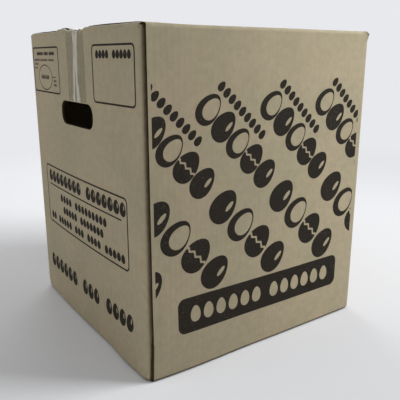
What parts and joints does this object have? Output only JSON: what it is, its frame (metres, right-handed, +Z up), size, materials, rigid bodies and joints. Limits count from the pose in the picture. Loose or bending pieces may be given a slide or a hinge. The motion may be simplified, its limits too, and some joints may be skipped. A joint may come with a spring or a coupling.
{
  "type": "egg shipping box",
  "caption": "Folded corrugated shipping box for eggs, with oval hand holes in both ends, taped top flaps and a glued side joint.",
  "frame": {"origin": "middle of the underside of the bottom flaps", "axes": "+X along the taped top seam, through both hand holes; +Y across the seam; +Z up"},
  "size_m": [0.3194, 0.314, 0.3651],
  "materials": {
    "kraft_board": "uncoated brown kraft liner, matt, with charcoal print",
    "clear_tape": "clear glossy film, a little wrinkled"
  },
  "bodies": {
    "root": {"carton": "kraft_board", "top_tape": "clear_tape"}
  },
  "joints": []
}
